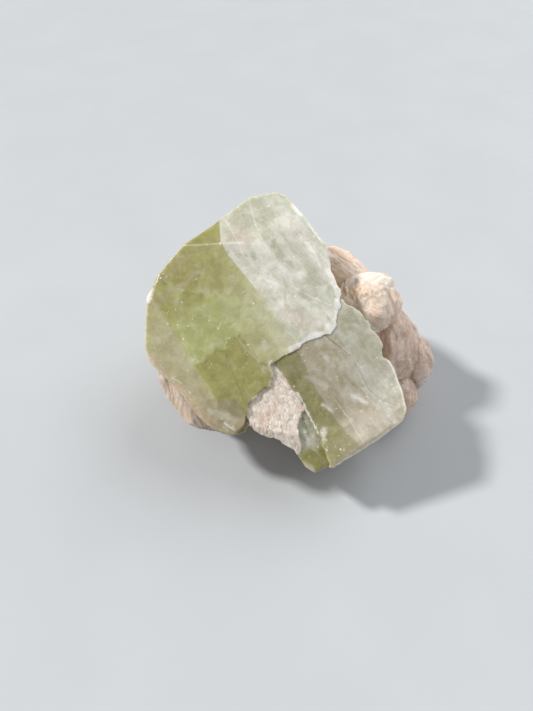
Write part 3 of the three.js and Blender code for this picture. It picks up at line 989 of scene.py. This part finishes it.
def lump(nudge, half, turn, root, blade, count, seed, rows=120, columns=220, lumps=0.05,
         lump_scale=1.6, pale=0.0):
    """One sheaf's measures in millimetres, its centre and root taken from its node's middle."""
    return {"nudge": np.array(nudge, float), "half": half, "turn": turn, "root": root,
            "blade": blade, "count": count, "seed": seed, "rows": rows, "columns": columns,
            "lumps": lumps, "lump_scale": lump_scale, "pale": pale}


def petal(nudge, half, turn, root, seed):
    """A small, paler, overlapping petal of a sheaf."""
    return lump(nudge, half, turn, root, (1.6, 0.6, 0.1), 6, seed, 70, 130, 0.03, 1.2, 0.8)


# In rows whose zone follows x, orange lies next to the crystals as painted contact shade; in the others the
# second colour follows the cloud.
STILBITE_TINTS = {
    "ball": ("peach", "orange_tone_and_contact_shade", 0.9, (1, 1.5, 13.5, 10.5), 0.6, 0.25),
    # The upper sheaf's full cream and almost no shade are painted light, standing in for light that comes
    # through the crystal.
    "warm": ("peach", "orange_tone_and_contact_shade", 0.4, (1, 2, 12, 6), 1.0, 0.05),
    "cool": ("mauve", "orange_tone_and_contact_shade", 0.95, (1, 1.5, 20, 16.5), 0.45, 0.7),
    "dim": ("shade", "mauve", 0.5, (0, 1, -0.3, 0.6), 0.35, 0.4),
    "base": ("mauve", "peach", 0.6, (0, 1, -0.3, 0.6), 0.4, 0.6),
    "bright": ("patch", "mauve", 0.5, (0, 1, 0.1, 0.8), 0.6, 0.3),
    "outer": ("rim", "orange_tone_and_contact_shade", 0.35, (0, 1, 0, 0.7), 0.35, 0.4),
}


def stilbite_tint(settings, base, over, strength, zone, cream, shade):
    """Base colour, a second colour over its zone, cream bundles partly as a painted highlight, and painted
    shade in the gaps.

    The zone is strength * smooth(across * x + clouded * cloud, low, high). Where across is 1 it lies next to
    the crystals, as painted contact shade."""
    across, clouded, low, high = zone

    def tint(points, bundles, tone):
        cloud = layered_noise(points * 0.28, 31, 4)
        fleck = layered_noise(points * 1.3, 32, 3)
        return coats(
            np.array(getattr(settings, base)), settings,
            (over, strength * smooth(across * points[:, 0] + clouded * cloud, low, high)),
            # Painted shade in the gaps between bundles, then cream on the raised bundles, partly lighter
            # fibres and partly a painted highlight.
            ("shade", shade * smooth(bundles + 0.3 * cloud, 0.42, 0.1)),
            ("cream", cream * smooth(bundles + 0.5 * tone + 0.5 * cloud, 0.35, 1.3)),
            ("cream", 0.4 * smooth(fleck, 0.45, 0.9)),
            ("orange_tone_and_contact_shade", 0.20 * smooth(tone + cloud, -0.3, -0.9)))
    return tint


def stilbite_tints(settings, crystals):
    """The tint of each kind of stilbite, by name."""
    tints = {name: stilbite_tint(settings, *row) for name, row in STILBITE_TINTS.items()}

    def granular(points, bundles, tone):
        """The bright tint with sugary white grains and pinkish gaps between them."""
        grain = layered_noise(points * 2.2, 41, 2)
        return coats(tints["bright"](points, bundles, tone), settings,
                     ("cream", 0.75 * smooth(grain, 0.15, 0.7)), ("shade", 0.45 * smooth(grain, -0.3, -0.9)))

    def rim(points, bundles, tone):
        """The outer tint, with painted contact shade where it meets the crystal."""
        own = (points - np.array(crystals.face_centre)) @ np.array(crystal_turn(crystals))
        near = smooth(own[:, 0] - 0.15 * own[:, 1], -21.6, -20.0)
        return coats(tints["outer"](points, bundles, tone), settings, ("shade", 0.85 * near, 0.60))

    def blade(points, bundles, tone):
        """The cool tint with one dark speck on its outer edge."""
        gap = np.linalg.norm(points - np.array(SPECK_PLACE), axis=1)
        return coats(tints["cool"](points, bundles, tone), settings, ("speck", 0.7 * smooth(gap, 0.8, 0.3)))

    return {**tints, "granular": granular, "rim": rim, "blade": blade}


def patch_plate():
    """The front patch: a fibrous face between the green and the lower crystal."""
    return slab(
        [(0.4, 2.0), (-1.7, -1.5), (-1.7, -6.5), (-1.8, -9.8), (-2.2, -11.8), (-4.0, -13.0), (-5.3, -14.2),
         (-6.2, -15.6), (-6.6, -17.4), (-8.0, -18.8), (-8.5, -17.6), (-9.0, -15.6), (-10.2, -13.3),
         (-11.8, -11.3), (-12.8, -8.8), (-12, -5.3), (-9.6, -3.2), (-6.8, -2.0), (-5.6, 1.6)],
        (-6.4, -9.5), -0.55, 12, 51, columns=420, rings=60, wall_rows=22, bites=34, bite_width=0.8,
        top_facets=[((-10.4, -11.0, -0.6), 26, 222), ((-7.5, -15.0, -0.6), 24, 240)],
        bottom_facets=[((-9.4, -14.4, -3.4), 142, 225), ((-6.5, -17.5, -4.5), 140, 262)],
        roughness_of=lambda x, y: 0.35 + 0 * x,
        root=(-4.5, 4, 0), blade=(0.8, 0.45, 0.22), count=230, grain=34, relief_scale=0.10)


def rim_plate():
    """The pink rim along the green crystal's left side."""
    return slab(
        [(-21.2, 11.2), (-22.3, 9.4), (-22.9, 7.2), (-23.1, 5.2), (-23.0, 3.3), (-22.9, 0.8),
         (-22.3, -1.9), (-20.8, -4.1), (-18.3, -6.5), (-16.2, -8.6), (-12, -8), (-8, -3),
         (-9, 8), (-16, 12)],
        (-16, 1.8), -2.7, 10, 53, columns=520, rings=60, wall_rows=22, bites=26, bite_width=1.2,
        top_facets=[((-20.4, 5, -2.9), 40, 182), ((-19.0, -3, -2.8), 42, 214)],
        bottom_facets=[((-22, 2, -9), 140, 200)],
        roughness_of=lambda x, y: 0.2 + 0 * x,
        root=(-14, 16, 0), blade=(2.2, 0.7, 0.3), count=70, grain=16, relief_scale=0.3)


def stilbite_rows():
    """Each stilbite node with its slot, its tint, and its sheaves and plates."""
    return (
        ("stilbite_ball", "peach_stilbite", "ball", [
            lump((0.6, 0.6, 0.8), (7.4, 7.2, 6.8), (0, 0.3, 0), (-5, 3, 4), (2.6, 1.6, 0.6), 30, 1),
            petal((0.5, 1.4, 4.2), (5.9, 4.4, 3.1), (0.7, 0.1, 0.1), (7, 4, 2), 11),
            petal((0.0, -1.4, 4.2), (5.0, 3.7, 2.7), (0.8, 0.1, 0.15), (7, 4, 3), 12)]),
        ("stilbite_upper_sheaf", "peach_stilbite", "warm", [
            lump((0.6, 0.6, 1.6), (10.6, 5.6, 6.6), (0, 0.28, -0.72), (-14, 9, 3), (3.6, 1.2, 0.5), 30, 2)]),
        ("stilbite_right_sheaf", "mauve_stilbite", "cool", [
            lump((-0.9, 0.6, -0.2), (8.4, 9.6, 9.8), (0, 0.45, 0.2), (-3, 15, 15), (4.4, 1.3, 0.6), 50, 3)]),
        ("stilbite_far_blade", "mauve_stilbite", "blade", [
            lump((-0.8, 0.6, 0.9), (4.0, 5.6, 7.2), (0, 0.15, 0.4), (-3, 12, 9), (5.5, 2.8, 0.6), 10, 4)]),
        ("stilbite_right_tail", "mauve_stilbite", "dim", [
            lump((0.9, 0.8, 0.4), (6.0, 5.6, 5.7), (0, 0, 0.5), (-3, 11, 9), (3.4, 1.2, 0.5), 26, 5)]),
        ("stilbite_front_patch", "cream_stilbite", "granular", [
            patch_plate(),
            lump((-0.4, 0.6, -1.8), (7.6, 3.8, 5.2), (0.5, 0, -0.75), (2, 8, 9), (2.4, 0.8, 0.5), 30, 6,
                 80, 150)]),
        ("stilbite_left_rim", "peach_stilbite", "rim", [
            rim_plate(),
            lump((0.3, -0.2, 1.0), (10.2, 4.8, 7.2), (0, 0, -0.85), (6, 12, 9), (3.2, 1.2, 0.5), 40, 7)]),
        ("stilbite_base", "mauve_stilbite", "base", [
            lump((0.4, -0.6, -2.7), (23.3, 14.8, 12.6), (0, 0, -0.25), (0, 2, 20), (5.5, 1.8, 0.9), 110, 8,
                 170, 330)]),
    )


# ---- materials ----

CRYSTAL_SOAK = 0.8
CLOUD_DIM = (0.86, 0.85, 0.80, 1)
FROST_DIM = (0.84, 0.83, 0.78, 1)
STRAND_DIM = (0.84, 0.78, 0.73, 1)
STRAND_LIGHT = (1.0, 0.96, 0.90, 1)


def new_material(name):
    """A material, its tree and its Principled shader."""
    material = bpy.data.materials.new(name)
    material.use_nodes = True
    tree = material.node_tree
    return material, tree, tree.nodes["Principled BSDF"]


def wire(tree, target, inputs):
    """Gives a node's inputs, by name or number, a link from a socket or else a plain value."""
    for key, value in inputs.items():
        if isinstance(value, bpy.types.NodeSocket):
            tree.links.new(value, target.inputs[key])
        else:
            target.inputs[key].default_value = value


def node(tree, kind, inputs, **options):
    """A new node with its options set and its inputs wired."""
    made = tree.nodes.new("ShaderNode" + kind)
    for key, value in options.items():
        setattr(made, key, value)
    wire(tree, made, inputs)
    return made


def mapped(tree, source, location, rotation, scale):
    """The source vector taken into a turned, shifted and scaled frame of its own."""
    inputs = {"Vector": source, "Location": location, "Rotation": rotation, "Scale": scale}
    return node(tree, "Mapping", inputs, vector_type="TEXTURE").outputs["Vector"]


def texture_noise(tree, vector, scale, detail=4.0, distortion=0.0, output="Fac"):
    """Noise texture's value, or its colour, on a vector."""
    inputs = {"Vector": vector, "Scale": scale, "Detail": detail, "Distortion": distortion}
    return node(tree, "TexNoise", inputs).outputs[output]


def ramp(tree, value, low, high, low_to=0.0, high_to=1.0):
    """The value remapped from low..high to low_to..high_to, clamped and smooth."""
    inputs = {"Value": value, "From Min": low, "From Max": high, "To Min": low_to, "To Max": high_to}
    return node(tree, "MapRange", inputs, interpolation_type="SMOOTHSTEP").outputs["Result"]


def mix_colour(tree, factor, first, second, kind="MIX"):
    """Two colours mixed; each is a socket or a plain colour."""
    inputs = {0: factor, 6: first, 7: second}
    return node(tree, "Mix", inputs, data_type="RGBA", blend_type=kind).outputs[2]


def maths(tree, operation, first, second):
    """A Math node on two values; each is a socket or a number."""
    return node(tree, "Math", {0: first, 1: second}, operation=operation).outputs[0]


def bump(tree, height, distance):
    """The normal of a bump from a height value, distance in metres."""
    inputs = {"Strength": 1.0, "Distance": distance, "Height": height}
    return node(tree, "Bump", inputs).outputs["Normal"]


def attribute(tree, name, output):
    """One of the piece's own attributes."""
    return node(tree, "Attribute", {}, attribute_name=name).outputs[output]


def white_spots(tree, own):
    """Bright spots, partly white flakes and partly painted glints: some of the cells of a bent Voronoi
    pattern, in clusters.
    """
    jitter = texture_noise(tree, own, 3.0, 2.0, output="Color")
    bent = node(tree, "VectorMath", {0: jitter, 1: (0.35, 0.35, 0.35), 2: own}, operation="MULTIPLY_ADD")
    cells = node(tree, "TexVoronoi", {"Vector": bent.outputs[0], "Scale": 1.1})
    chance = node(tree, "SeparateColor", {0: cells.outputs["Color"]})
    picked = ramp(tree, chance.outputs[0], 0.86, 0.90)
    cluster = ramp(tree, texture_noise(tree, own, 0.30, 2.0), 0.50, 0.60)
    spot = ramp(tree, cells.outputs["Distance"], 0.24, 0.14)
    return maths(tree, "MULTIPLY", spot, maths(tree, "MULTIPLY", picked, cluster))


def crystal_material(name, settings, frost, milkiness):
    """Translucent crystal: zoned tint, soft clouds in depth, frost, milky wisps and bright spots, partly
    white flakes and partly painted glints.
    """
    material, tree, shader = new_material(name)
    place = FOOT + Vector(settings.face_centre) * MM
    coords = node(tree, "TexCoord", {})
    own = mapped(tree, coords.outputs["Object"], place, crystal_turn(settings).to_euler("XYZ"),
                 (MM, MM, MM))
    tint = attribute(tree, "tint", "Color")
    clouds = texture_noise(tree, own, 0.42, 3.0, 0.5)
    deep = mix_colour(tree, 1.0, tint, CLOUD_DIM, "MULTIPLY")
    col = mix_colour(tree, ramp(tree, clouds, 0.36, 0.60), deep, tint)
    mottle = texture_noise(tree, own, 3.2, 5.0, 0.3)
    dull = mix_colour(tree, 1.0, col, FROST_DIM, "MULTIPLY")
    col = mix_colour(tree, ramp(tree, mottle, 0.30, 0.48, 1 - frost, 1.0), dull, col)
    col = mix_colour(tree, ramp(tree, mottle, 0.56, 0.74, 0.0, frost * 0.6), col, (*settings.white, 1))
    for lean, offset in ((0.5, 3.0), (-0.35, 31.0)):
        wisp = mapped(tree, own, (offset, 0, 0), (0.3, 0.2, lean), (0.28, 2.4, 1.2))
        streaks = ramp(tree, texture_noise(tree, wisp, 1.0, 6.0, 0.8), 0.58, 0.74, 0.0, milkiness)
        col = mix_colour(tree, streaks, col, (*settings.milky, 1))
    spot = white_spots(tree, own)
    smear = ramp(tree, texture_noise(tree, own, 1.1, 4.0), 0.35, 0.65, 0.12, 0.34)
    striped = mapped(tree, own, (0, 0, 0), (0, 0, 0), (0.5, 6.0, 1.0))
    lines = texture_noise(tree, striped, 1.6, 4.0)
    height = maths(tree, "ADD", maths(tree, "MULTIPLY", lines, 0.5), maths(tree, "MULTIPLY", mottle, 0.5))
    soak = maths(tree, "MULTIPLY", attribute(tree, "tint", "Alpha"), CRYSTAL_SOAK)
    wire(tree, shader, {
        "Base Color": mix_colour(tree, spot, col, (*settings.white, 1)),
        "Roughness": maths(tree, "SUBTRACT", smear, maths(tree, "MULTIPLY", spot, 0.08)),
        "Subsurface Weight": soak, "Subsurface Radius": (1.0, 1.0, 0.75), "Subsurface Scale": 0.0018,
        "IOR": 1.54, "Normal": bump(tree, height, 0.00008)})
    return material


def stilbite_material(name, smoothest=0.32, roughest=0.6):
    """Silky fibres: tint broken into fine lighter and darker strands, with bump along them."""
    material, tree, shader = new_material(name)
    fibre = attribute(tree, "fibre", "Vector")
    tint = attribute(tree, "tint", "Color")
    strands = texture_noise(tree, fibre, 2.2, 5.0)
    fine = texture_noise(tree, fibre, 7.0, 4.0)
    dark = mix_colour(tree, 1.0, tint, STRAND_DIM, "MULTIPLY")
    light = mix_colour(tree, 0.4, tint, STRAND_LIGHT)
    col = mix_colour(tree, ramp(tree, strands, 0.32, 0.62), dark, tint)
    height = maths(tree, "ADD", strands, maths(tree, "MULTIPLY", fine, 0.5))
    wire(tree, shader, {
        "Base Color": mix_colour(tree, ramp(tree, fine, 0.52, 0.72), col, light),
        "Roughness": ramp(tree, fine, 0.3, 0.7, smoothest, roughest),
        "Subsurface Weight": 0.2, "Subsurface Radius": (1.0, 0.75, 0.6), "Subsurface Scale": 0.0012,
        "Specular IOR Level": 0.5, "Normal": bump(tree, height, 0.00025)})
    return material


# ---- operators ----

class CLUSTER_OT_crystals(bpy.types.Operator):
    """Grow the five apophyllite crystals"""

    bl_idname = "cluster.crystals"
    bl_label = "Crystals"

    def execute(self, context):
        settings = context.scene.cluster_crystals
        green = crystal_material("green_apophyllite", settings, 0.07, 0.06)
        pale = crystal_material("colourless_apophyllite", settings, 0.15, 0.18)
        zoned = crystal_material("zoned_apophyllite", settings, 0.10, 0.12)
        rows = (
            ("green_crystal", green_crystal_spec(), green_tint, green, "green_apophyllite"),
            ("pale_crystal", pale_crystal_spec(), pale_tint, pale, "colourless_apophyllite"),
            ("lower_crystal", lower_crystal_spec(), lower_tint, zoned, "zoned_apophyllite"),
            ("tip_crystal", tip_crystal_spec(), small_tint, green, "green_apophyllite"),
            ("spur_crystal", spur_crystal_spec(), small_tint, green, "green_apophyllite"),
        )
        for name, spec, tint, material, slot in rows:
            crystal_piece(name, spec, tint, material, settings)
        return {"FINISHED"}


class CLUSTER_OT_stilbite(bpy.types.Operator):
    """Grow the stilbite sheaves"""

    bl_idname = "cluster.stilbite"
    bl_label = "Stilbite"

    def execute(self, context):
        settings = context.scene.cluster_stilbite
        crystals = context.scene.cluster_crystals
        silky = stilbite_material("silky_stilbite")
        glossy = stilbite_material("glossy_stilbite", 0.16, 0.26)
        tints = stilbite_tints(settings, crystals)
        for name, slot, tint, parts in stilbite_rows():
            surfaces = [plate_surface(part, crystals) if "outline" in part
                        else sheaf_surface(part, settings, name) for part in parts]
            stilbite_piece(name, surfaces, tints[tint], glossy if tint == "blade" else silky)
        return {"FINISHED"}


class CLUSTER_OT_stage(bpy.types.Operator):
    """Lay the floor, hang the light and set the camera"""

    bl_idname = "cluster.stage"
    bl_label = "Stage"

    def execute(self, context):
        settings = context.scene.cluster_stage
        half = settings.floor_size / 2
        mesh = bpy.data.meshes.new("floor")
        corners = [(FOOT.x + sx * half, FOOT.y + sy * half, FOOT.z)
                   for sx, sy in ((-1, -1), (1, -1), (1, 1), (-1, 1))]
        mesh.from_pydata(corners, [], [(0, 1, 2, 3)])
        material, tree, shader = new_material("floor")
        grain = texture_noise(tree, node(tree, "TexCoord", {}).outputs["Object"], 40.0, 4.0)
        tone = mix_colour(tree, ramp(tree, grain, 0.3, 0.7), (*[v * 0.97 for v in settings.floor], 1),
                          (*settings.floor, 1))
        wire(tree, shader, {"Base Color": tone, "Roughness": 0.7})
        mesh.materials.append(material)
        put("floor", mesh)

        world = bpy.data.worlds.new("sky")
        world.use_nodes = True
        sky = world.node_tree.nodes["Background"]
        sky.inputs["Color"].default_value = (0.97, 0.985, 1.0, 1)
        sky.inputs["Strength"].default_value = settings.sky_strength
        context.scene.world = world

        for name, strength, angle, tone, way in (
                ("key", settings.key_strength, 7, (1.0, 0.975, 0.94), KEY_WAY),
                ("fill", settings.fill_strength, 60, (1.0, 1.0, 1.0), FILL_WAY)):
            sun = bpy.data.lights.new(name, "SUN")
            sun.energy = strength
            sun.angle = math.radians(angle)
            sun.color = tone
            put(name, sun).rotation_euler = Vector(way).to_track_quat("Z", "Y").to_euler()

        lens = bpy.data.cameras.new("camera")
        lens.lens = settings.lens
        lens.clip_start = 0.001
        camera = put("camera", lens)
        camera.location = FOOT + Vector(settings.camera_place)
        camera.rotation_euler = (math.pi / 2 - settings.camera_pitch, 0, 0)
        context.scene.camera = camera
        context.scene.view_settings.view_transform = "Standard"
        return {"FINISHED"}


class CLUSTER_PT_panel(bpy.types.Panel):
    """The cluster's settings and steps"""

    bl_label = "Apophyllite cluster"
    bl_idname = "CLUSTER_PT_panel"
    bl_space_type = "VIEW_3D"
    bl_region_type = "UI"
    bl_category = "Cluster"

    def draw(self, context):
        for group in ("cluster_crystals", "cluster_stilbite", "cluster_stage"):
            settings = getattr(context.scene, group)
            for key in settings.__annotations__:
                self.layout.prop(settings, key)
        for operator in OPERATORS:
            self.layout.operator(operator.bl_idname)


SETTINGS = {"cluster_crystals": CrystalSettings, "cluster_stilbite": StilbiteSettings,
            "cluster_stage": StageSettings}
OPERATORS = (CLUSTER_OT_crystals, CLUSTER_OT_stilbite, CLUSTER_OT_stage)


def register():
    """Registers the classes and puts the settings on the scene."""
    for name, group in SETTINGS.items():
        bpy.utils.register_class(group)
        setattr(bpy.types.Scene, name, bpy.props.PointerProperty(type=group))
    for operator in OPERATORS:
        bpy.utils.register_class(operator)
    bpy.utils.register_class(CLUSTER_PT_panel)


def unregister():
    """Undoes register."""
    bpy.utils.unregister_class(CLUSTER_PT_panel)
    for operator in reversed(OPERATORS):
        bpy.utils.unregister_class(operator)
    for name, group in SETTINGS.items():
        delattr(bpy.types.Scene, name)
        bpy.utils.unregister_class(group)


def main():
    """Builds the cluster and its stage."""
    register()
    bpy.ops.cluster.crystals()
    bpy.ops.cluster.stilbite()
    bpy.ops.cluster.stage()


if __name__ == "__main__":
    main()
